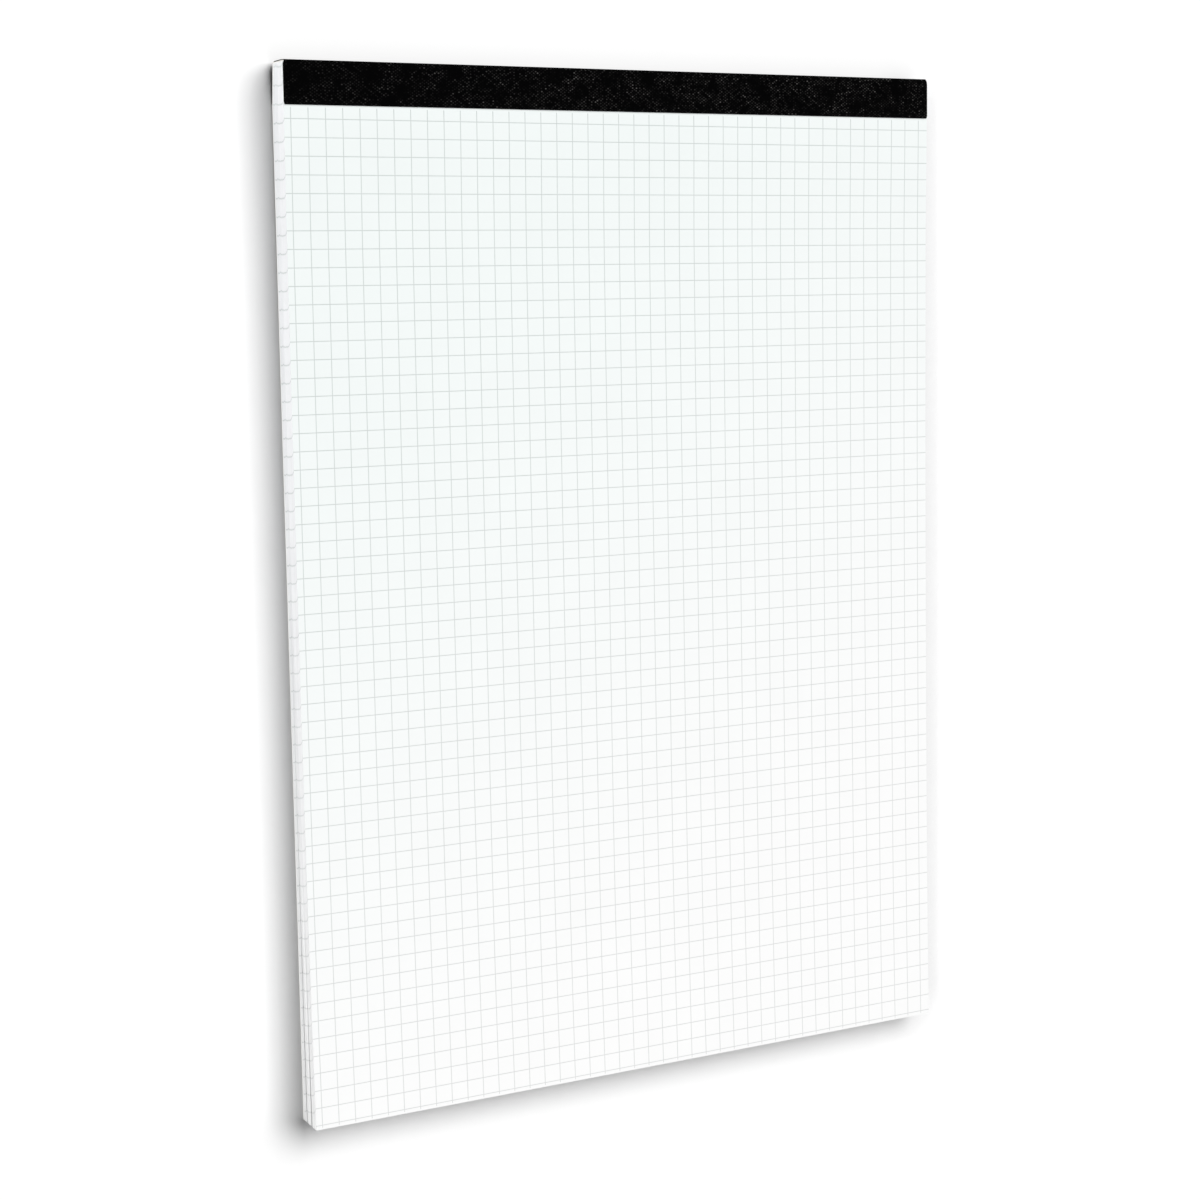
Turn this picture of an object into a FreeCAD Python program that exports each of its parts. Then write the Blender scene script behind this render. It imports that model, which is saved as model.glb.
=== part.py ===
import FreeCAD, Part
import os
import Sketcher

# A squared writing pad, A4, lying on its back: leaves glued along the head to a card,
# with a black cloth tape folded over the glued head.
# The origin is under the middle of the pad, +Y points to the head and +Z out of the top leaf.

os.makedirs("parts", exist_ok=True)
doc = FreeCAD.newDocument("WritingPad")

# Driving dimensions, in millimetres
DIMENSIONS = [
    ("pad_width", 210.0, "A4 across"),
    ("pad_length", 297.0, "A4 from head to foot, over the tape"),
    ("tape_leg", 12.0, "tape shown on the front, and the same on the back"),
    ("tape_thick", 0.25, "woven cloth tape with its glue"),
    ("glue_thick", 0.3, "padding compound brushed on the head"),
    ("board_thick", 0.8, "card under the leaves"),
    ("board_lift_run", 90.0, "length over which the card rises to pass over the tape"),
    ("stack_glued", 8.5, "eighty leaves at the tape's edge, where the glue swells them"),
    ("head_pinch", 1.3, "how far the tape draws the back up at the fold, so the head is thinner there"),
    ("stack_pressed", 7.9, "eighty leaves lying close"),
    ("settle_run", 40.0, "length below the tape over which the leaves settle"),
    ("slit_root", 0.03, "height of a parting where it starts"),
    ("board_part_start", -60.0, "where the leaves begin to stand off the card"),
    ("board_part_gap", 0.45, "that gap at the foot"),
    ("lower_part_start", 25.0, "where the lower leaves begin to part from the rest"),
    ("lower_part_gap", 0.35, "that gap at the foot"),
    ("lower_part_share", 0.27, "share of the stack below it"),
    ("main_part_start", -45.0, "where the upper third parts from the rest"),
    ("main_part_gap", 0.75, "that gap at the foot"),
    ("main_part_share", 0.62, "share of the stack below it"),
    ("upper_part_start", -80.0, "where the top leaves begin to part"),
    ("upper_part_gap", 0.15, "that gap at the foot"),
    ("upper_part_share", 0.86, "share of the stack below it"),
]

sheet = doc.addObject("Spreadsheet::Sheet", "dims")
for row, (alias, size, meaning) in enumerate(DIMENSIONS, start=1):
    sheet.set(f"A{row}", alias)
    sheet.set(f"B{row}", str(size))
    sheet.set(f"C{row}", meaning)
    sheet.setAlias(f"B{row}", alias)
doc.recompute()


class Size:
    """A length that knows its value and the expression that ties it to the sheet."""

    def __init__(self, value, text):
        self.value = value
        self.text = text

    def join(self, other, sign, value):
        other = other if isinstance(other, Size) else Size(other, str(other))
        return Size(value(self.value, other.value), f"({self.text} {sign} {other.text})")

    def __add__(self, other):
        return self.join(other, "+", lambda a, b: a + b)

    def __sub__(self, other):
        return self.join(other, "-", lambda a, b: a - b)

    def __mul__(self, other):
        return self.join(other, "*", lambda a, b: a * b)

    def __truediv__(self, other):
        return self.join(other, "/", lambda a, b: a / b)


def dim(alias):
    return Size(float(sheet.get(alias)), f"dims.{alias}")


# Places that several pieces share
half_length = dim("pad_length") / 2
head_outer = half_length
foot = half_length * -1
glue_outer = head_outer - dim("tape_thick")
stack_head = glue_outer - dim("glue_thick")
tape_edge = half_length - dim("tape_leg")
board_flat_end = tape_edge - dim("board_lift_run")
settled = tape_edge - dim("settle_run")
board_top = dim("board_thick")
board_top_head = dim("tape_thick") + dim("board_thick")
board_top_fold = board_top_head + dim("head_pinch")
board_low_fold = dim("tape_thick") + dim("head_pinch")
stack_top_head = board_top_head + dim("stack_glued")
tape_top = stack_top_head + dim("tape_thick")


def origin_plane(body, role):
    return [plane for plane in body.Origin.OriginFeatures if plane.Role == role][0]


def side_profile(body, name, corners):
    """A closed outline in the side view, from corners (y, z, radius, side).

    The last two say how the edge that starts at that corner runs: straight with None,
    or on an arc of that radius that swells to the left or right of the way it goes.
    """
    sketch = body.newObject("Sketcher::SketchObject", name)
    sketch.AttachmentSupport = [(origin_plane(body, "YZ_Plane"), "")]
    sketch.MapMode = "FlatFace"
    count = len(corners)
    points = [FreeCAD.Vector(y.value, z.value, 0) for y, z, radius, side in corners]
    ends = []
    for index, (y, z, radius, side) in enumerate(corners):
        start = points[index]
        end = points[(index + 1) % count]
        if radius is None:
            sketch.addGeometry(Part.LineSegment(start, end), False)
            ends.append((1, 2))
            continue
        along = end - start
        left = FreeCAD.Vector(-along.y, along.x, 0).normalize()
        swell = radius.value - (radius.value ** 2 - along.Length ** 2 / 4) ** 0.5
        turn = 1 if side == "left" else -1
        middle = (start + end) * 0.5 + left * swell * turn
        sketch.addGeometry(Part.Arc(start, middle, end), False)
        ends.append((2, 1) if side == "left" else (1, 2))
    for index in range(count):
        follower = (index + 1) % count
        sketch.addConstraint(
            Sketcher.Constraint("Coincident", index, ends[index][1], follower, ends[follower][0]))
    for index, (y, z, radius, side) in enumerate(corners):
        ties = [("DistanceX", y), ("DistanceY", z)]
        for kind, size in ties:
            tie = sketch.addConstraint(
                Sketcher.Constraint(kind, -1, 1, index, ends[index][0], size.value))
            sketch.setExpression(f"Constraints[{tie}]", size.text)
        if radius is not None:
            tie = sketch.addConstraint(Sketcher.Constraint("Radius", index, radius.value))
            sketch.setExpression(f"Constraints[{tie}]", radius.text)
    doc.recompute()
    return sketch


def across_pad(body, sketch, name):
    pad = body.newObject("PartDesign::Pad", name)
    pad.Profile = sketch
    pad.setExpression("Length", "dims.pad_width")
    pad.Midplane = True
    body.Tip = pad
    doc.recompute()
    return pad


def new_body(label):
    body = doc.addObject("PartDesign::Body", label)
    body.Label = label
    return body


def corner(y, z, radius=None, side=None):
    return (y, z, radius, side)


# Card: flat on the table, rising a little to pass over the tape's back leg, then drawn up at the head
card = new_body("backing_board")
card_profile = side_profile(card, "card_side", [
    corner(foot, dim("board_thick") * 0),
    corner(board_flat_end, dim("board_thick") * 0),
    corner(tape_edge, dim("tape_thick")),
    corner(stack_head, board_low_fold),
    corner(stack_head, board_top_fold),
    corner(tape_edge, board_top_head),
    corner(board_flat_end, board_top),
    corner(foot, board_top),
])
across_pad(card, card_profile, "card")


class Parting:
    """A gap under a group of leaves, closed at its start and widest at the foot."""

    def __init__(self, name, share=None):
        self.share = share
        self.start = dim(name + "_start")
        self.gap = dim(name + "_gap")
        self.run = self.start + half_length
        self.curl = self.gap * 2 / (self.run * self.run)

    def rise(self, y):
        away = (self.start - y) / self.run
        return self.gap * away * away


under_stack = Parting("board_part")
lower_part = Parting("lower_part", dim("lower_part_share"))
main_part = Parting("main_part", dim("main_part_share"))
upper_part = Parting("upper_part", dim("upper_part_share"))


def leaf_surface(height, partings, start_y):
    """Corners of one leaf's surface from start_y to the foot, above the given partings."""
    later = [parting.start for parting in partings if parting.start.value < start_y.value]
    stops = [start_y] + later + [foot]
    stops.sort(key=lambda stop: -stop.value)
    line = []
    for stop in stops:
        z = height
        curl = None
        for parting in partings:
            if parting.start.value > stop.value:
                z = z + parting.rise(stop)
            if parting.start.value >= stop.value:
                curl = parting.curl if curl is None else curl + parting.curl
        line.append((stop, z, curl))
    return line


def towards_foot(line):
    """Edges run from the head side to the foot, curling up: they swell to the left."""
    corners = []
    for y, z, curl in line[:-1]:
        radius = None if curl is None else Size(1.0, "1") / curl
        corners.append((y, z, radius, "left"))
    return corners + [(line[-1][0], line[-1][1], None, None)]


def towards_head(line):
    """The same edges run back from the foot: they swell to the right."""
    corners = []
    for (y, z, curl), (next_y, next_z, next_curl) in zip(line[::-1], line[-2::-1]):
        radius = None if next_curl is None else Size(1.0, "1") / next_curl
        corners.append((y, z, radius, "right"))
    return corners + [(line[0][0], line[0][1], None, None)]


# Leaves: one solid, swollen at the tape's edge and thinner at the fold, settled below the tape
# and parted towards the foot
stack_top = board_top + dim("stack_pressed")
lift_share = (settled - board_flat_end) / dim("board_lift_run")
settled_top = stack_top + dim("tape_thick") * lift_share
settle_middle_y = (settled + tape_edge) / 2
settle_middle_z = (settled_top + stack_top_head) / 2
settle_fall = stack_top_head - settled_top
settle_square = dim("settle_run") * dim("settle_run") + settle_fall * settle_fall
settle_radius = settle_square / (settle_fall * 4)

outline = towards_head(leaf_surface(board_top, [under_stack], under_stack.start))
outline += [
    corner(board_flat_end, board_top),
    corner(tape_edge, board_top_head),
    corner(stack_head, board_top_fold),
    corner(stack_head, stack_top_head),
    corner(tape_edge, stack_top_head, settle_radius, "right"),
    corner(settle_middle_y, settle_middle_z, settle_radius, "left"),
    corner(settled, settled_top),
    corner(board_flat_end, stack_top),
]
everything = [under_stack, lower_part, main_part, upper_part]
outline += towards_foot(leaf_surface(stack_top, everything, lower_part.start))
for parting, below in (
        (upper_part, [under_stack, lower_part, main_part]),
        (main_part, [under_stack, lower_part]),
        (lower_part, [under_stack])):
    height = board_top + dim("stack_pressed") * parting.share
    upper_lip = leaf_surface(height + dim("slit_root"), below + [parting], parting.start)
    lower_lip = leaf_surface(height, below, parting.start)
    outline += towards_head(upper_lip)
    outline += towards_foot(lower_lip)
leaves = new_body("page_block")
across_pad(leaves, side_profile(leaves, "leaves_side", outline), "leaves")

# Padding compound: a film on the glued head, rounded where the tape folds over it
film = new_body("padding_glue")
film_profile = side_profile(film, "film_side", [
    corner(stack_head, board_low_fold, dim("glue_thick"), "right"),
    corner(glue_outer, board_low_fold + dim("glue_thick")),
    corner(glue_outer, stack_top_head - dim("glue_thick"), dim("glue_thick"), "right"),
    corner(stack_head, stack_top_head),
])
across_pad(film, film_profile, "film")

# Tape: folded over the head, with one leg on the front leaf and one on the card, which it draws up
tape = new_body("binding_tape")
fold_radius = dim("tape_thick") + dim("glue_thick")
tape_profile = side_profile(tape, "tape_side", [
    corner(tape_edge, dim("tape_thick") * 0),
    corner(stack_head, dim("head_pinch"), fold_radius, "right"),
    corner(head_outer, dim("head_pinch") + fold_radius),
    corner(head_outer, tape_top - fold_radius, fold_radius, "right"),
    corner(stack_head, tape_top),
    corner(tape_edge, tape_top),
    corner(tape_edge, stack_top_head),
    corner(stack_head, stack_top_head, dim("glue_thick"), "left"),
    corner(glue_outer, stack_top_head - dim("glue_thick")),
    corner(glue_outer, board_low_fold + dim("glue_thick"), dim("glue_thick"), "left"),
    corner(stack_head, board_low_fold),
    corner(tape_edge, dim("tape_thick")),
])
across_pad(tape, tape_profile, "tape")

doc.recompute()

# Every object has to be sound before anything is written
for item in doc.Objects:
    if "Invalid" in item.State or "Error" in item.State:
        raise RuntimeError(f"{item.Label} did not build: {item.State}")
for body in (leaves, card, film, tape):
    if body.Shape.isNull() or not body.Shape.isValid() or len(body.Shape.Solids) != 1:
        raise RuntimeError(f"{body.Label} is not one valid solid")
    box = body.Shape.BoundBox
    print(f"{body.Label}: {body.Shape.Volume / 1000:.2f} cm3,",
          f"y {box.YMin:.2f} to {box.YMax:.2f}, z {box.ZMin:.2f} to {box.ZMax:.2f}")
    body.Shape.exportStep(f"parts/{body.Label}.step")
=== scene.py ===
# %% [markdown]
# # A writing pad of squared paper
#
# The object is an A4 pad: eighty white leaves printed with 5 mm squares, glued along the head to a
# light card, and a strip of black cloth tape folded over the glued head. It lies on its back.
#
# The construction is done already. It comes in as a fixed frame of four pieces at their real size, in
# metres, and every look below is built around it. Here the frame is read.

# %% Read the frame
import math
import random

import bpy
import numpy as np
from mathutils import Matrix, Vector


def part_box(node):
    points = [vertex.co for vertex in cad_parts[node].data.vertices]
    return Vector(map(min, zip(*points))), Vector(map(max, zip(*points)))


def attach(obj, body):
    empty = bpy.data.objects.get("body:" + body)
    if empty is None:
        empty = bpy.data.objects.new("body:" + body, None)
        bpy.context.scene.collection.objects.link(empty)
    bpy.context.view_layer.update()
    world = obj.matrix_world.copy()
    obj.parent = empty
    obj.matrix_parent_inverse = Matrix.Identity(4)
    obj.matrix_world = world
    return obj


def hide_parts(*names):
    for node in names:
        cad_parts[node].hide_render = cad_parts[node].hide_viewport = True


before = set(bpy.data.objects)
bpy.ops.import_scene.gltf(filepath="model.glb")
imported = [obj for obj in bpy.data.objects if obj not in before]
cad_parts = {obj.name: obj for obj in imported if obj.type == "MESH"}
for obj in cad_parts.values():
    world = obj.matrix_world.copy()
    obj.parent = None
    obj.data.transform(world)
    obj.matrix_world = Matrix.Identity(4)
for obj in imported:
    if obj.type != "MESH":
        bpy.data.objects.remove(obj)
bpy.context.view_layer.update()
MM = 0.001
print("pieces in the frame:", sorted(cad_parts))

# %% [markdown]
# ## The camera
#
# The pad is seen from above and a little from its left, so that the cut edges of the leaves show along
# the left side. A camera could be placed by eye, but the printed squares tell where it stood: they are
# 5 mm apart, so the way they shrink across the picture gives the lens, the place and the tilt. The
# values here come from such a fit. The small shift says that the picture's middle isn't quite where the
# lens pointed.

# %% Place the camera
CAMERA_PLACE = Vector((-323.6, 86.3, 611.5)) * MM
CAMERA_LOOK = Vector((0.4576, -0.1080, -0.8825)).normalized()
CAMERA_UP = Vector((0.0644, 0.9940, -0.0883))
LENS_MM = 69.88
SENSOR_MM = 36.0
SHIFT_UP = -0.05

camera_data = bpy.data.cameras.new("camera")
camera_data.lens = LENS_MM
camera_data.sensor_width = SENSOR_MM
camera_data.shift_y = SHIFT_UP
camera_data.clip_start = 0.01
camera = bpy.data.objects.new("camera", camera_data)
right = CAMERA_LOOK.cross(CAMERA_UP).normalized()
upright = right.cross(CAMERA_LOOK)
turn = Matrix((right, upright, -CAMERA_LOOK)).transposed()
camera.matrix_world = Matrix.Translation(CAMERA_PLACE) @ turn.to_4x4()
bpy.context.scene.collection.objects.link(camera)
bpy.context.scene.camera = camera
bpy.context.scene.view_settings.view_transform = "Standard"
print("camera is", round(CAMERA_PLACE.length, 3), "m from the pad's middle")

# %% [markdown]
# ## The light
#
# Paper looks like paper only in even light, and the side that faces the reader's left has to stay
# nearly as bright as the top. Area lamps would fade over the length of the pad. Two wide suns don't: a
# sun's angle sets how soft its shadow is, and its strength is the same everywhere. The main one comes
# from the upper right and gives the short soft shadow along the left side and the foot. The second is
# low on the left, for the cut edges. On the table it would only throw a long faint shadow to the right,
# so light linking keeps it to the pad: it shines on what is in its own collection. A white diffuse
# surface that a sun of strength pi meets squarely comes out at 1, so the strengths are given as shares
# of that.

# %% Hang the lamps
def hang_sun(name, share, from_direction, spread_degrees):
    lamp = bpy.data.lights.new(name, "SUN")
    lamp.energy = share * math.pi
    lamp.angle = math.radians(spread_degrees)
    holder = bpy.data.objects.new(name, lamp)
    holder.rotation_mode = "QUATERNION"
    holder.rotation_quaternion = Vector(from_direction).to_track_quat("Z", "Y")
    bpy.context.scene.collection.objects.link(holder)
    level = share * Vector(from_direction).normalized().z
    print(name, "adds", round(level, 3), "to a level white surface")
    return holder, level


WORLD_LEVEL = 0.12
main_light, main_level = hang_sun("main_light", 1.01, (0.46, 0.46, 0.80), 56)
edge_light, edge_level = hang_sun("edge_light", 0.64, (-0.965, -0.20, 0.201), 16)
lit_by_edge_light = bpy.data.collections.new("lit_by_edge_light")
edge_light.light_linking.receiver_collection = lit_by_edge_light
print("a white leaf comes out at", round(WORLD_LEVEL + main_level + edge_level, 3))

# %% [markdown]
# ## Sums on sockets
#
# Every finish below is worked out from places on the paper or the cloth, and a sum written as Python
# is easier to read than a list of nodes and links. A `Wire` is one output socket. Adding two wires
# adds a Math node, or a Vector Math node where one of them carries a colour or a place, because a Math
# node would turn a colour grey. `Finish` is one material, and its `node` method makes any node: first
# its settings, then the values or wires of its sockets.

# %% Wires and finishes
class Wire:
    def __init__(self, finish, socket):
        self.finish = finish
        self.socket = socket

    def sum_with(self, operation, first, second):
        pair = (first, second)
        plain = all(not isinstance(v, Wire) or v.socket.type == "VALUE" for v in pair)
        kind = "ShaderNodeMath" if plain else "ShaderNodeVectorMath"
        if not plain:
            pair = [v if isinstance(v, Wire) else (v, v, v) for v in pair]
        return self.finish.node(kind, {"operation": operation}, {0: pair[0], 1: pair[1]})

    def __add__(self, other):
        return self.sum_with("ADD", self, other)

    def __radd__(self, other):
        return self.sum_with("ADD", other, self)

    def __sub__(self, other):
        return self.sum_with("SUBTRACT", self, other)

    def __rsub__(self, other):
        return self.sum_with("SUBTRACT", other, self)

    def __mul__(self, other):
        return self.sum_with("MULTIPLY", self, other)

    def __rmul__(self, other):
        return self.sum_with("MULTIPLY", other, self)

    def __truediv__(self, other):
        return self.sum_with("DIVIDE", self, other)

    def __rtruediv__(self, other):
        return self.sum_with("DIVIDE", other, self)

    def __neg__(self):
        return self.sum_with("SUBTRACT", 0.0, self)


class Finish:
    def __init__(self, name):
        self.material = bpy.data.materials.new(name)
        self.material.use_nodes = True
        self.tree = self.material.node_tree
        self.shader = self.tree.nodes["Principled BSDF"]
        print("finish:", name)

    def node(self, kind, settings=None, sockets=None, output=0):
        made = self.tree.nodes.new(kind)
        for setting, value in (settings or {}).items():
            setattr(made, setting, value)
        for socket, value in (sockets or {}).items():
            if isinstance(value, Wire):
                self.tree.links.new(value.socket, made.inputs[socket])
            else:
                made.inputs[socket].default_value = value
        return Wire(self, made.outputs[output])

    def step(self, value, low, high):
        """0 below low, 1 above high and smooth between."""
        settings = {"interpolation_type": "SMOOTHSTEP"}
        places = {"Value": value, "From Min": low, "From Max": high}
        return self.node("ShaderNodeMapRange", settings, places)

    def blend(self, share, first, second):
        """A colour between two, each given as red, green and blue or as a wire."""
        def whole(c):
            return c if isinstance(c, Wire) else (*c, 1.0)
        sockets = {"Factor": share, 6: whole(first), 7: whole(second)}
        return self.node("ShaderNodeMix", {"data_type": "RGBA"}, sockets, 2)

    def noise(self, place, size, detail=2.0, roughness=0.5):
        """Cloudy noise whose blots are about that size in metres."""
        sockets = {"Vector": place, "Scale": 1 / size, "Detail": detail, "Roughness": roughness}
        return self.node("ShaderNodeTexNoise", None, sockets, "Fac")

    def place(self):
        return self.node("ShaderNodeTexCoord", None, None, "Object")

    def parts_of(self, vector):
        made = self.node("ShaderNodeSeparateXYZ", None, {0: vector})
        return [Wire(self, out) for out in made.socket.node.outputs]

    def set(self, **values):
        """Constants and wires for the shader's own sockets, such as Base_Color."""
        for socket, value in values.items():
            target = self.shader.inputs[socket.replace("_", " ")]
            if isinstance(value, Wire):
                self.tree.links.new(value.socket, target)
            else:
                target.default_value = value

    def bump(self, height, depth, strength=1.0):
        """Relief: a height from 0 to 1 that stands for that depth in metres."""
        sockets = {"Height": height, "Distance": depth, "Strength": strength}
        self.set(Normal=self.node("ShaderNodeBump", None, sockets))


# %% [markdown]
# ## The floor
#
# The pad lies on a plain white sheet. White that renders as exactly white would need more light, and
# more light would burn out the paper. Instead the floor is whiter for the camera than it is for light
# that bounces: the Light Path node tells the two apart. The shadow still falls on it, because both
# sides of the mix are plain diffuse paint. Close to the pad its white side throws so much light on the
# table that the foot of the shadow would wash out. The Ambient Occlusion node, looking towards the main
# light but lower, finds the strip where the pad hides it and darkens the table a little there. A second
# one does the same at the right end alone, where a white pad would otherwise melt into a white table.

# %% The floor's finish
FLOOR_SEEN = 1.155
FLOOR_BOUNCE = (0.92, 0.92, 0.92, 1.0)
SHADE_TOWARDS = Vector((0.79, 0.39, 0.48)).normalized()
SHADE_REACH = 11.6 * MM
SHADE_DEPTH = 0.41
SHADE_SAMPLES = 16
RIGHT_TOWARDS = Vector((-0.80, 0.50, 0.33)).normalized()
RIGHT_REACH = 14 * MM
RIGHT_DEPTH = 0.74
RIGHT_STRIP = (92 * MM, 106 * MM)


def seen_or_mirrored(finish):
    """1 for light paths that the eye follows straight, in a reflection or through glass."""
    path = finish.node("ShaderNodeLightPath", None, None, "Is Camera Ray").socket.node
    rays = [Wire(finish, path.outputs[name]) for name in
            ("Is Camera Ray", "Is Glossy Ray", "Is Transmission Ray")]
    return finish.node("ShaderNodeMath", {"operation": "MAXIMUM"},
                       {0: rays[0], 1: rays[1] + rays[2]})


def hidden_share(finish, direction, reach):
    """How much of what lies in that direction the pad hides, within its reach."""
    towards = finish.node("ShaderNodeCombineXYZ", None, dict(zip("XYZ", direction)))
    sockets = {"Distance": reach, "Normal": towards}
    settings = {"samples": SHADE_SAMPLES}
    return 1 - finish.node("ShaderNodeAmbientOcclusion", settings, sockets, "AO")


def floor_finish():
    finish = Finish("white_table")
    across = finish.parts_of(finish.place())[0]
    right_end = finish.step(across, *RIGHT_STRIP)
    left_shade = SHADE_DEPTH * hidden_share(finish, SHADE_TOWARDS, SHADE_REACH)
    right_shade = RIGHT_DEPTH * right_end * hidden_share(finish, RIGHT_TOWARDS, RIGHT_REACH)
    white = FLOOR_SEEN * (1 - left_shade) * (1 - right_shade)
    seen = finish.node("ShaderNodeBsdfDiffuse", None, {"Color": white})
    bounce = finish.node("ShaderNodeBsdfDiffuse", None, {"Color": FLOOR_BOUNCE})
    mixed = finish.node("ShaderNodeMixShader", None,
                        {0: seen_or_mirrored(finish), 1: bounce, 2: seen})
    out = finish.tree.nodes["Material Output"]
    finish.tree.links.new(mixed.socket, out.inputs["Surface"])
    finish.tree.nodes.remove(finish.shader)
    return finish.material


# %% [markdown]
# The sheet is one square, far wider than the camera sees.

# %% Lay the floor
FLOOR_HALF = 3.0
floor_mesh = bpy.data.meshes.new("floor")
corners = [(-1, -1), (1, -1), (1, 1), (-1, 1)]
floor_mesh.from_pydata([(x * FLOOR_HALF, y * FLOOR_HALF, 0) for x, y in corners], [], [(0, 1, 2, 3)])
floor = bpy.data.objects.new("floor", floor_mesh)
floor_mesh.materials.append(floor_finish())
bpy.context.scene.collection.objects.link(floor)
print("floor:", 2 * FLOOR_HALF, "m wide")

# %% [markdown]
# ## The room
#
# White walls around the pad would send a little light into every shadow. The world can do that alone: a
# low even light from all sides. The camera sees it as plain white, so that nothing dark shows where the
# floor ends.

# %% Fill the room with light
WHITE = (1, 1, 1, 1)
world = bpy.data.worlds.new("room")
bpy.context.scene.world = world
world.use_nodes = True
sky = world.node_tree
backdrop = sky.nodes["Background"]
backdrop.inputs["Color"].default_value = WHITE
backdrop.inputs["Strength"].default_value = WORLD_LEVEL
white_room = sky.nodes.new("ShaderNodeBackground")
white_room.inputs["Color"].default_value = WHITE
eye = sky.nodes.new("ShaderNodeLightPath")
either = sky.nodes.new("ShaderNodeMixShader")
sky.links.new(eye.outputs["Is Camera Ray"], either.inputs[0])
sky.links.new(backdrop.outputs[0], either.inputs[1])
sky.links.new(white_room.outputs[0], either.inputs[2])
sky.links.new(either.outputs[0], sky.nodes["World Output"].inputs["Surface"])
print("the room adds", WORLD_LEVEL, "to a white surface")

# %% [markdown]
# ## Squared paper
#
# The leaves are white with a breath of green towards the head, and the squares are printed in a thin
# pale grey-green line. The print is on every leaf, so the pattern is painted by the place on the
# leaf and not by the place in the room: each leaf carries its own places in an attribute, shifted a
# little, as printed sheets are. `PINGPONG` gives the distance to the nearest line, and a step turns
# that distance into ink. The lines run off the sheet, which is why the cut edges show a tick at every
# line, but they stop short of the tape and of the foot. The ink is a little uneven, and the sheet has
# a fine tooth. The cut edges carry painted shade in long streaks that differ from leaf to leaf, darker
# towards the foot.

# %% The paper's finishes
SQUARE = 5 * MM
FIRST_LINE_X = -103.15 * MM
FIRST_LINE_Y = -147.25 * MM
LINE_WIDTH = 0.24 * MM
LINE_SOFT = 0.05 * MM
WHITE_HEAD = (0.880, 0.925, 0.915)
WHITE_FOOT = (0.945, 0.947, 0.945)
# Painted light: the cut edges start from a lighter, bluer white than the face, which keeps the side band
# nearly as bright as the top.
WHITE_CUT = (0.955, 0.957, 0.975)
INK_HEAD = (0.525, 0.575, 0.560)
INK_FOOT = (0.620, 0.635, 0.630)
PRINT_FOOT = -147.85 * MM
tape_low, tape_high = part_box("binding_tape")
TAPE_EDGE = round(tape_low.y, 6)
PRINT_HEAD = TAPE_EDGE - 0.9 * MM
NEVER_BLANK = 1.0
EDGE_LINE_WIDTH = 1.8 * LINE_WIDTH


def ink_lines(finish, along, first, width):
    """1 on the printed lines that cross this direction."""
    away = finish.node("ShaderNodeMath", {"operation": "PINGPONG"},
                       {0: along - first, 1: SQUARE / 2})
    return 1 - finish.step(away, width / 2 - LINE_SOFT, width / 2 + LINE_SOFT)


def printed_paper(name, width, ink_share, blank_from, head_white, painted_shade):
    finish = Finish(name)
    print_place = finish.node("ShaderNodeAttribute", {"attribute_name": "print_place"}, None, "Vector")
    across, up, leaf = finish.parts_of(print_place)
    towards_foot = finish.step(0.5 * across - up, -150 * MM, 140 * MM)
    white = finish.blend(towards_foot, head_white, WHITE_FOOT)
    cloud = finish.noise(print_place, 18 * MM, 3.0)
    white = white * (0.985 + 0.03 * cloud)
    # Painted shade: grey streaks along the cut edges, different on each leaf and darker towards the
    # foot, stand in for the shade between the leaves.
    if painted_shade:
        shade_streak_place = finish.node("ShaderNodeCombineXYZ", None, {"Y": up / 12, "Z": leaf})
        shade_streaks = finish.step(finish.noise(shade_streak_place, 7 * MM, 3.0, 0.6), 0.35, 0.7)
        shade_towards_foot = finish.step(-up, -70 * MM, 60 * MM)
        white = white * (1 - painted_shade * shade_streaks * (0.25 + 0.75 * shade_towards_foot))
    rows = ink_lines(finish, up, FIRST_LINE_Y, width)
    columns = ink_lines(finish, across, FIRST_LINE_X, width)
    patchy = finish.noise(print_place, 1.4 * MM, 4.0, 0.7)
    inked = finish.node("ShaderNodeMath", {"operation": "MAXIMUM"}, {0: rows, 1: columns})
    inked = inked * (ink_share * (0.72 + 0.5 * patchy))
    inked = inked * (1 - finish.step(up, blank_from, blank_from + 0.4 * MM))
    inked = inked * finish.step(up, PRINT_FOOT - 0.3 * MM, PRINT_FOOT)
    ink = finish.blend(towards_foot, INK_HEAD, INK_FOOT)
    finish.set(Base_Color=finish.blend(inked, white, ink))
    tooth = finish.noise(print_place, 0.22 * MM, 4.0, 0.65)
    fibres = finish.noise(print_place, 1.1 * MM, 3.0, 0.6)
    finish.set(Roughness=0.78 + 0.14 * tooth, Specular_IOR_Level=0.25)
    finish.bump(0.6 * tooth + 0.4 * fibres, 0.02 * MM, 0.55)
    return finish.material


paper_face = printed_paper("squared_paper", LINE_WIDTH, 0.80, PRINT_HEAD, WHITE_HEAD, 0)
paper_edge = printed_paper("cut_paper_edge", EDGE_LINE_WIDTH, 0.48, NEVER_BLANK, WHITE_CUT, 0.16)

# %% [markdown]
# ## The leaves
#
# From the side the pad is not a block. The tape has drawn the back of the head up, so the pad is
# thinner at the fold than at the tape's edge. Below the tape the leaves settle, and towards the foot
# they part in groups: a dark gap a third of the way down, a longer one over the lowest leaves, and
# hairlines between. A box with a striped picture on its side would be quick, but its outline would be
# wrong and the gaps would have no depth. So every leaf is modelled as a thin closed sheet. One function
# gives the height of any leaf at any place, so leaves can't cut through each other, and a loop makes
# all eighty on the same grid of places.

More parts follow.
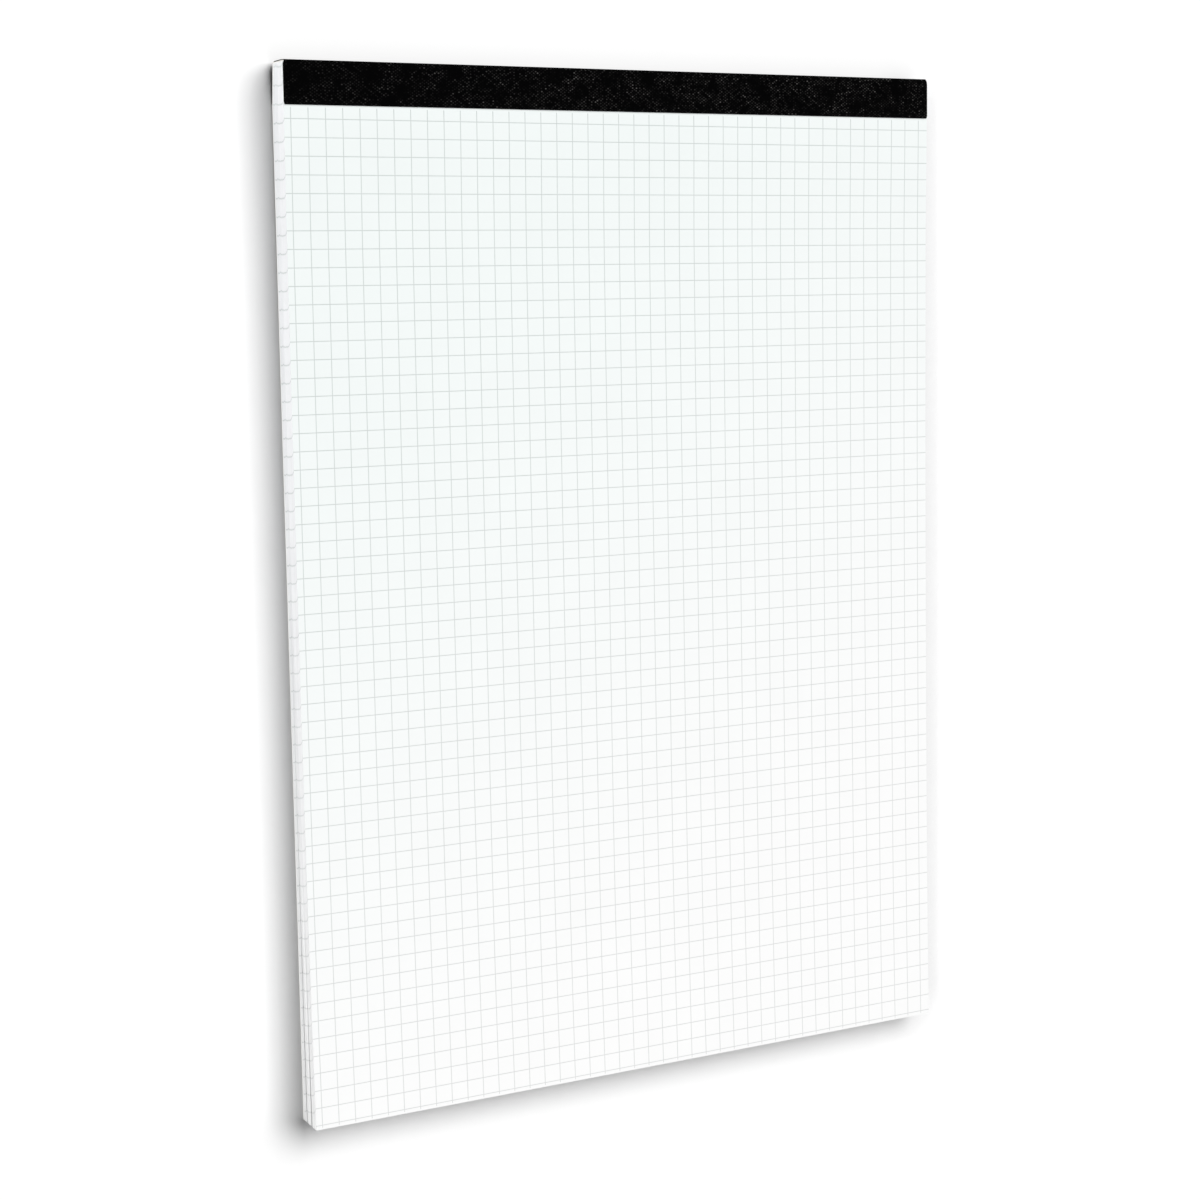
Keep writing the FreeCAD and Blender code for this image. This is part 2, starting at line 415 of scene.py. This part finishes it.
# %% Heights of the leaves
LEAVES = 80
block_low, block_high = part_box("page_block")
card_low, card_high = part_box("backing_board")
FOOT, HEAD = block_low.y, block_high.y
HALF_WIDTH = block_high.x
CARD_THICK = block_low.z
TAPE_THICK = tape_high.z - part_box("padding_glue")[1].z
HEAD_PINCH = card_high.z - CARD_THICK - TAPE_THICK
STACK_GLUED = tape_high.z - 2 * TAPE_THICK - CARD_THICK
STACK_PRESSED = 7.9 * MM
SETTLE_RUN = 40 * MM
CARD_LIFT_RUN = 90 * MM
WIDER_AT_LEFT = 0.16
COCKLE_RISE = 0.07 * MM
COCKLE_ALONG = 31 * MM
COCKLE_ACROSS = 38 * MM
HELD_BY_TAPE = 6 * MM
FREED_WITHIN = 60 * MM
# Each parting: how many leaves lie below it, where it starts, how wide it is at the foot
PARTINGS = [
    (0, -60, 0.20), (8, -70, 0.03), (20, 55, 0.50), (33, -60, 0.03), (40, -110, 0.04),
    (50, -45, 0.73), (56, -90, 0.03), (62, -50, 0.03), (69, -80, 0.11),
]


def smooth(t):
    """0 below 0, 1 above 1 and smooth between."""
    t = np.clip(t, 0, 1)
    return t * t * (3 - 2 * t)


def pinch(y):
    """How far the tape has drawn the back up: nothing at its edge, all of it at the fold."""
    return HEAD_PINCH * np.clip((y - TAPE_EDGE) / (HEAD - TAPE_EDGE), 0, 1)


def card_top(y):
    """Height of the card's upper face, which climbs to lie on the tape's back leg."""
    lift = np.clip((y - (TAPE_EDGE - CARD_LIFT_RUN)) / CARD_LIFT_RUN, 0, 1)
    return CARD_THICK + TAPE_THICK * lift + pinch(y)


def leaf_height(leaf, part, x, y):
    """Height of a leaf's surface: its underside has part 0 and its face part 1."""
    share = (leaf + part) / LEAVES
    swell = smooth((y - TAPE_EDGE + SETTLE_RUN) / SETTLE_RUN)
    thick = STACK_PRESSED + (STACK_GLUED - STACK_PRESSED) * swell - pinch(y)
    height = card_top(y) + share * thick
    for below, start, gap in PARTINGS:
        if below <= leaf:
            away = np.clip((start * MM - y) / (start * MM - FOOT), 0, None)
            wider = 1 - WIDER_AT_LEFT * x / HALF_WIDTH
            height = height + gap * MM * wider * away ** 2
    cockle = np.sin(y / COCKLE_ALONG + 1.1) * np.cos(x / COCKLE_ACROSS + 0.4)
    free = smooth((TAPE_EDGE - HELD_BY_TAPE - y) / FREED_WITHIN)
    return height + COCKLE_RISE * share * free * cockle


print("stack at the tape's edge:", round(STACK_GLUED / MM, 2), "mm")
print("drawn up at the fold by:", round(HEAD_PINCH / MM, 2), "mm")

# %% [markdown]
# ## Closed sheets
#
# Leaf, card and tape are all the same kind of thing: a sheet with two faces and a narrow rim. A plane
# with a Solidify modifier would do for one, but here the two faces differ. So each is a pair of grids,
# one under the other, and a band that joins their rims, which leaves no hole anywhere.

# %% Grids, rims and pieces
def grid_faces(rows, columns, start, flip):
    """The four-sided faces of one grid, facing up or, where flipped, down."""
    faces = []
    for r in range(rows - 1):
        for c in range(columns - 1):
            a = start + r * columns + c
            quad = (a, a + 1, a + columns + 1, a + columns)
            faces.append(quad[::-1] if flip else quad)
    return faces


def rim_faces(rows, columns, low, high):
    """The band that joins the rims of a lower and an upper grid."""
    rim = list(range(columns))
    rim += [r * columns + columns - 1 for r in range(1, rows)]
    rim += [(rows - 1) * columns + c for c in range(columns - 2, -1, -1)]
    rim += [r * columns for r in range(rows - 2, 0, -1)]
    return [(low + a, low + b, high + b, high + a) for a, b in zip(rim, rim[1:] + rim[:1])]


def sheet_faces(rows, columns, start=0):
    """The two grids of a sheet whose points begin at start, and the band round them."""
    upper = start + rows * columns
    grids = grid_faces(rows, columns, start, True) + grid_faces(rows, columns, upper, False)
    return grids, rim_faces(rows, columns, start, upper)


def make_piece(name, points, faces, finishes, crease, edge_faces=()):
    """A closed mesh, smooth up to the crease. Its edge faces are flat and take the second finish."""
    mesh = bpy.data.meshes.new(name)
    mesh.from_pydata(points, [], faces)
    for finish in finishes:
        mesh.materials.append(finish)
    slots = np.zeros(len(faces), np.int32)
    slots[list(edge_faces)] = 1
    mesh.polygons.foreach_set("material_index", slots)
    mesh.polygons.foreach_set("use_smooth", slots == 0)
    mesh.update()
    mesh.set_sharp_from_angle(angle=crease)
    piece = bpy.data.objects.new(name, mesh)
    bpy.context.scene.collection.objects.link(piece)
    lit_by_edge_light.objects.link(piece)
    print(name + ":", 2 * len(faces), "triangles")
    return piece


def mark_places(piece, name, places):
    """Let each point carry its place on the flat sheet, for the finish to read."""
    attribute = piece.data.attributes.new(name, "FLOAT_VECTOR", "POINT")
    attribute.data.foreach_set("vector", np.array(places, np.float32).ravel())


# %% [markdown]
# ## Eighty leaves
#
# The trimmed edges are not quite flush: the knife leaves each leaf a hundredth of a millimetre or two
# in or out. The print wanders from leaf to leaf as well. On this pad the leaves under the top one are
# printed lower, and the deep ones also a touch longer, so the ticks down the side sit below the lines
# on the face and curl up to them.

# %% Build the leaves
CREASE = math.radians(35)
LEAF_THICK_SHARE = 0.98
EDGE_JITTER = 0.012 * MM
DRIFT_KEPT = 0.9
DRIFT_ACROSS = 0.05 * MM
DRIFT_ALONG = 0.045 * MM
PRINT_LOWER = 1.25 * MM
PRINT_BEND = 0.5 * MM
PRINT_DEEP_LOWER = 0.9 * MM
PRINT_DEEP_STRETCH = 0.010


def stations():
    """Places along the pad, close together where the leaves bend."""
    calm_from, calm_to = -20 * MM, 90 * MM
    parted = np.linspace(FOOT, calm_from, 18)
    calm = np.linspace(calm_from, calm_to, 10)[1:]
    settling = np.linspace(calm_to, TAPE_EDGE, 12)[1:]
    glued = np.linspace(TAPE_EDGE, HEAD, 4)[1:]
    return np.concatenate([parted, calm, settling, glued])


def build_leaves():
    chance = random.Random(5)
    ys = stations()
    xs = np.linspace(-1, 1, 9)
    rows, columns = len(ys), len(xs)
    points, places, faces, edge_faces = [], [], [], []
    drift_x = drift_y = 0.0
    for leaf in range(LEAVES):
        drift_x = DRIFT_KEPT * drift_x + chance.gauss(0, DRIFT_ACROSS)
        drift_y = DRIFT_KEPT * drift_y + chance.gauss(0, DRIFT_ALONG)
        deep = (LEAVES - 1 - leaf) / LEAVES
        lower = PRINT_LOWER * (1 - math.exp(-deep * STACK_PRESSED / PRINT_BEND))
        out_x = chance.gauss(0, EDGE_JITTER)
        out_y = chance.gauss(0, EDGE_JITTER)
        wide = HALF_WIDTH - abs(chance.gauss(0, EDGE_JITTER))
        y, x = np.meshgrid(ys, xs * wide, indexing="ij")
        x = x + out_x
        y = np.where(y == FOOT, FOOT + abs(out_y), y)
        top_leaf = leaf == LEAVES - 1
        shift_x = 0 if top_leaf else drift_x
        shift_y = 0 if top_leaf else lower + drift_y
        shift_y = shift_y + deep * (PRINT_DEEP_LOWER - PRINT_DEEP_STRETCH * y)
        start = len(points)
        for part in (0.0, LEAF_THICK_SHARE):
            z = leaf_height(leaf, part, x, y)
            points += [tuple(p) for p in np.stack([x, y, z], -1).reshape(-1, 3)]
            marks = np.stack([x + shift_x, y + shift_y, np.full_like(x, leaf * MM)], -1)
            places += [tuple(p) for p in marks.reshape(-1, 3)]
        grids, band = sheet_faces(rows, columns, start)
        faces += grids
        edge_faces += range(len(faces), len(faces) + len(band))
        faces += band
    piece = make_piece("leaves", points, faces, [paper_face, paper_edge], CREASE, edge_faces)
    mark_places(piece, "print_place", places)
    return piece


leaves = build_leaves()
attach(leaves, "root")
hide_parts("page_block")

# %% [markdown]
# ## The card
#
# The leaves are glued to a sheet of light card. Its edges were cut by the same knife, so they are
# square, but handling has rounded them by a tenth of a millimetre. The frame's own solid has the right
# shape but knife-sharp edges, so the card is made again as a mesh with a rounded rim, and its finish
# has the flecks and the soft tooth of board.

# %% Card finish
def card_finish():
    finish = Finish("light_card")
    place = finish.place()
    cloud = finish.noise(place, 25 * MM, 3.0)
    fleck = finish.step(finish.noise(place, 0.9 * MM, 5.0, 0.75), 0.62, 0.72)
    board = finish.blend(cloud, (0.885, 0.885, 0.875), (0.935, 0.935, 0.925))
    finish.set(Base_Color=finish.blend(0.35 * fleck, board, (0.70, 0.69, 0.66)))
    tooth = finish.noise(place, 0.35 * MM, 4.0, 0.7)
    finish.set(Roughness=0.72 + 0.18 * tooth, Specular_IOR_Level=0.3)
    finish.bump(tooth, 0.03 * MM, 0.7)
    return finish.material


# %% [markdown]
# The card's heights come from `card_top`, which the leaves rest on too. Two of its rows fall on the
# places where it bends, and its outermost points are tucked in to round the rim.

# %% Build the card
CARD_ROUND = 0.12 * MM
CARD_CREASE = math.radians(60)


def build_card():
    lifted_from = TAPE_EDGE - CARD_LIFT_RUN
    ys = np.concatenate([
        [FOOT, FOOT + CARD_ROUND], np.linspace(FOOT, lifted_from, 24)[1:],
        np.linspace(lifted_from, TAPE_EDGE, 12)[1:], [HEAD - CARD_ROUND, HEAD]])
    side = HALF_WIDTH
    xs = np.concatenate([
        [-side, -side + CARD_ROUND], np.linspace(-side, side, 18)[1:-1], [side - CARD_ROUND, side]])
    rows, columns = len(ys), len(xs)
    y, x = np.meshgrid(ys, xs, indexing="ij")
    at_rim = (y == FOOT) | (y == HEAD) | (abs(x) == side)
    tuck = np.where(at_rim, CARD_ROUND, 0)
    lift = card_top(y) - CARD_THICK
    low = np.stack([x, y, lift + tuck], -1).reshape(-1, 3)
    high = np.stack([x, y, lift + CARD_THICK - tuck], -1).reshape(-1, 3)
    points = [tuple(p) for p in low] + [tuple(p) for p in high]
    grids, band = sheet_faces(rows, columns)
    print("card:", round(CARD_THICK / MM, 2), "mm thick")
    return make_piece("card", points, grids + band, [card_finish()], CARD_CREASE)


card = build_card()
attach(card, "root")
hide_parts("backing_board")

# %% [markdown]
# ## The tape
#
# The strip over the head is woven cotton with a black coating, about a quarter of a millimetre thick.
# It was cut flush with the leaves, folded over the head, and rubbed down on the front leaf and on the
# card. A flat black band would be right in colour, but cloth catches the light on its threads, which
# lie 0.61 mm apart across the pad and 0.42 mm apart the other way. Where two of them cross, every other
# one stands up, as it does in a plain weave. Those crossings lie in diagonal rows, and the light they
# catch is painted into the colour: a Voronoi pattern with little randomness, turned by 45 degrees, puts
# a dot on each and gives each its own chance. Most come out a little lighter than the hollows as a faint
# painted highlight, and one in ten shows as a grey painted glint. The painted highlights are fainter at
# the left end.

# %% Tape finish
TAPE_LEG = HEAD - TAPE_EDGE
WEFT_THREADS = 27
WARP_PITCH = 0.61 * MM
WEFT_PITCH = TAPE_LEG / WEFT_THREADS
FAINT_GLINT_SHARE = 0.36
BRIGHT_GLINT_SHARE = 0.64


def crossings(finish, warp, weft):
    """A dot on every crossing where the warp lies on top, and how strong a painted highlight each dot
    gets.
    """
    turned = {"X": (warp + weft) * 0.5, "Y": (warp - weft) * 0.5}
    lattice = finish.node("ShaderNodeCombineXYZ", None, turned)
    cells = {"Vector": lattice, "Scale": 1.0, "Randomness": 0.25}
    from_dot = finish.node("ShaderNodeTexVoronoi", None, cells, "Distance")
    chance = finish.parts_of(Wire(finish, from_dot.socket.node.outputs["Color"]))[0]
    # Painted highlights: most dots come out a little lighter, one in ten as a grey glint.
    faint_glint = FAINT_GLINT_SHARE * finish.step(chance, 0.10, 0.85)
    bright_glint = BRIGHT_GLINT_SHARE * finish.step(chance, 0.89, 0.98)
    return 1 - finish.step(from_dot, 0.12, 0.42), faint_glint + bright_glint


def tape_finish():
    finish = Finish("black_cloth_tape")
    place = finish.node("ShaderNodeAttribute", {"attribute_name": "cloth_place"}, None, "Vector")
    across, along = finish.parts_of(place)[:2]
    warp = across / WARP_PITCH
    weft = along / WEFT_PITCH
    hills = [finish.node("ShaderNodeMath", {"operation": "PINGPONG"}, {0: t, 1: 0.5})
             for t in (warp, weft)]
    threads = hills[0] + hills[1]
    wander = finish.noise(place, 6 * MM, 2.0)
    fluff = finish.noise(place, 0.28 * MM, 3.0, 0.7)
    # The dots on the crossings carry the painted highlights.
    wear_and_glint, glint_share = crossings(finish, warp, weft)
    # Painted highlight: fainter at the left end and in patches; the grey below is its colour.
    glint_towards_right = 0.5 + 0.5 * finish.step(across, -105 * MM, 10 * MM)
    painted_glint = wear_and_glint * glint_share * glint_towards_right * finish.step(wander, 0.32, 0.60)
    cloth = finish.blend(fluff, (0.0003, 0.0003, 0.0004), (0.0018, 0.0018, 0.0019))
    finish.set(Base_Color=finish.blend(painted_glint, cloth, (0.098, 0.094, 0.091)))
    finish.set(Roughness=0.70 + 0.25 * fluff, Specular_IOR_Level=0.01)
    finish.bump(0.5 * threads + 0.5 * fluff, 0.05 * MM, 0.8)
    return finish.material


# %% [markdown]
# ## The fold
#
# Cloth tape doesn't stretch, so its path comes before its surface. Seen from the side, the cloth's
# middle line is the front leg, a quarter round, the rise over the head, another quarter round and the
# back leg, which slopes because the tape has drawn the card up. The path is walked by length, with a
# stop at every thread and closer stops on the folds.

# %% The tape's path
FOLD_INNER = tape_high.y - TAPE_THICK - HEAD
FOLD_MIDDLE = FOLD_INNER + TAPE_THICK / 2
FOLD_STEPS = 6
TAPE_TOP = tape_high.z


def tape_path():
    """Places and outward directions of the cloth's middle line, from the front edge to the back."""
    arc = math.pi / 2 * FOLD_MIDDLE
    rise = TAPE_TOP - HEAD_PINCH - 2 * TAPE_THICK - 2 * FOLD_INNER
    back_leg = math.hypot(TAPE_LEG, HEAD_PINCH)
    slope = math.asin(HEAD_PINCH / back_leg)
    lengths = [TAPE_LEG, arc, rise, arc, back_leg]
    total = sum(lengths)
    low, high = HEAD_PINCH + TAPE_THICK + FOLD_INNER, TAPE_TOP - TAPE_THICK - FOLD_INNER
    stops, start = [0.0], 0.0
    fine = arc / FOLD_STEPS
    for length, stride in zip(lengths, (WEFT_PITCH, fine, WEFT_PITCH, fine, WEFT_PITCH)):
        stops += list(np.linspace(start, start + length, round(length / stride) + 1)[1:])
        start += length
    path = []
    for s in stops:
        if s <= TAPE_LEG:
            place, out = (TAPE_EDGE + s, high + FOLD_MIDDLE), (0, 1)
        elif s <= TAPE_LEG + arc:
            angle = (s - TAPE_LEG) / FOLD_MIDDLE
            out = (math.sin(angle), math.cos(angle))
            place = (HEAD + out[0] * FOLD_MIDDLE, high + out[1] * FOLD_MIDDLE)
        elif s <= TAPE_LEG + arc + rise:
            place, out = (HEAD + FOLD_MIDDLE, high - (s - TAPE_LEG - arc)), (1, 0)
        elif s <= total - back_leg:
            angle = (s - TAPE_LEG - arc - rise) / FOLD_MIDDLE
            out = (math.cos(angle), -math.sin(angle))
            place = (HEAD + out[0] * FOLD_MIDDLE, low + out[1] * FOLD_MIDDLE)
        else:
            left = total - s
            place = (TAPE_EDGE + left * math.cos(slope), TAPE_THICK / 2 + left * math.sin(slope))
            out = (0, -1)
        path.append((s, place, out))
    return path, total


tape_rows, tape_length = tape_path()
print("tape:", round(tape_length / MM, 2), "mm of cloth round the head, in", len(tape_rows), "rows")

# %% [markdown]
# The strip is swept along that path on a grid with one point for each crossing of two threads, and
# every other point stands up. On the back only the hollows are kept, because there the cloth is pressed
# flat on the table. The cut corners are worn round, and the cloth draws in a little at the folds.

# %% Build the tape
WEAVE_RISE = 0.022 * MM
CORNER_WORN = 0.3 * MM
CORNER_RUN = 0.7 * MM
FOLD_DRAWN = 0.45 * MM


def tape_reach(s, total):
    """How far the cloth reaches to each side: its corners are worn round, its folds draw in a little."""
    from_cut = min(s, total - s)
    wear_and_glint = CORNER_WORN * (1 - smooth(from_cut / CORNER_RUN))
    folds = [TAPE_LEG + FOLD_MIDDLE, total - TAPE_LEG - FOLD_MIDDLE]
    drawn = sum(FOLD_DRAWN * math.exp(-((s - fold) / CORNER_RUN) ** 2) for fold in folds)
    return HALF_WIDTH - wear_and_glint - drawn


def build_tape(path, total):
    chance = random.Random(11)
    shares = np.linspace(-1, 1, round(2 * HALF_WIDTH / WARP_PITCH) + 1)
    rows, columns = len(path), len(shares)
    inner, outer, marks = [], [], []
    for s, (y, z), (out_y, out_z) in path:
        for x in shares * tape_reach(s, total):
            crossing = math.cos(math.pi * s / WEFT_PITCH) * math.cos(math.pi * x / WARP_PITCH)
            crossing *= WEAVE_RISE * (0.75 + 0.5 * chance.random())
            under = out_z < -0.5
            half = TAPE_THICK / 2 + (min(crossing, 0) if under else crossing)
            outer.append((x, y + out_y * half, z + out_z * half))
            inner.append((x, y - out_y * TAPE_THICK / 2, z - out_z * TAPE_THICK / 2))
            marks.append((x, s, 0))
    grids, band = sheet_faces(rows, columns)
    piece = make_piece("cloth_tape", inner + outer, grids + band, [tape_finish()], CREASE)
    mark_places(piece, "cloth_place", marks + marks)
    return piece


tape = build_tape(tape_rows, tape_length)
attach(tape, "root")
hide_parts("binding_tape")

# %% [markdown]
# ## The glue film
#
# Between the leaves and the tape is a film of dried padding compound, a third of a millimetre thick.
# Only its ends show, as a thin pale line at each side of the head. The frame's own solid has the right
# shape, so it stays and only gets its finish: slightly milky and smoother than paper.

# %% Finish the glue film
def compound_finish():
    finish = Finish("padding_compound")
    place = finish.place()
    cloud = finish.noise(place, 3 * MM, 3.0)
    finish.set(Base_Color=finish.blend(cloud, (0.70, 0.69, 0.64), (0.82, 0.81, 0.77)))
    brush = finish.noise(place, 0.5 * MM, 3.0, 0.6)
    finish.set(Roughness=0.35 + 0.2 * brush)
    finish.bump(brush, 0.05 * MM, 0.5)
    return finish.material


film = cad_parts["padding_glue"]
film.data.materials.clear()
film.data.materials.append(compound_finish())
lit_by_edge_light.objects.link(film)
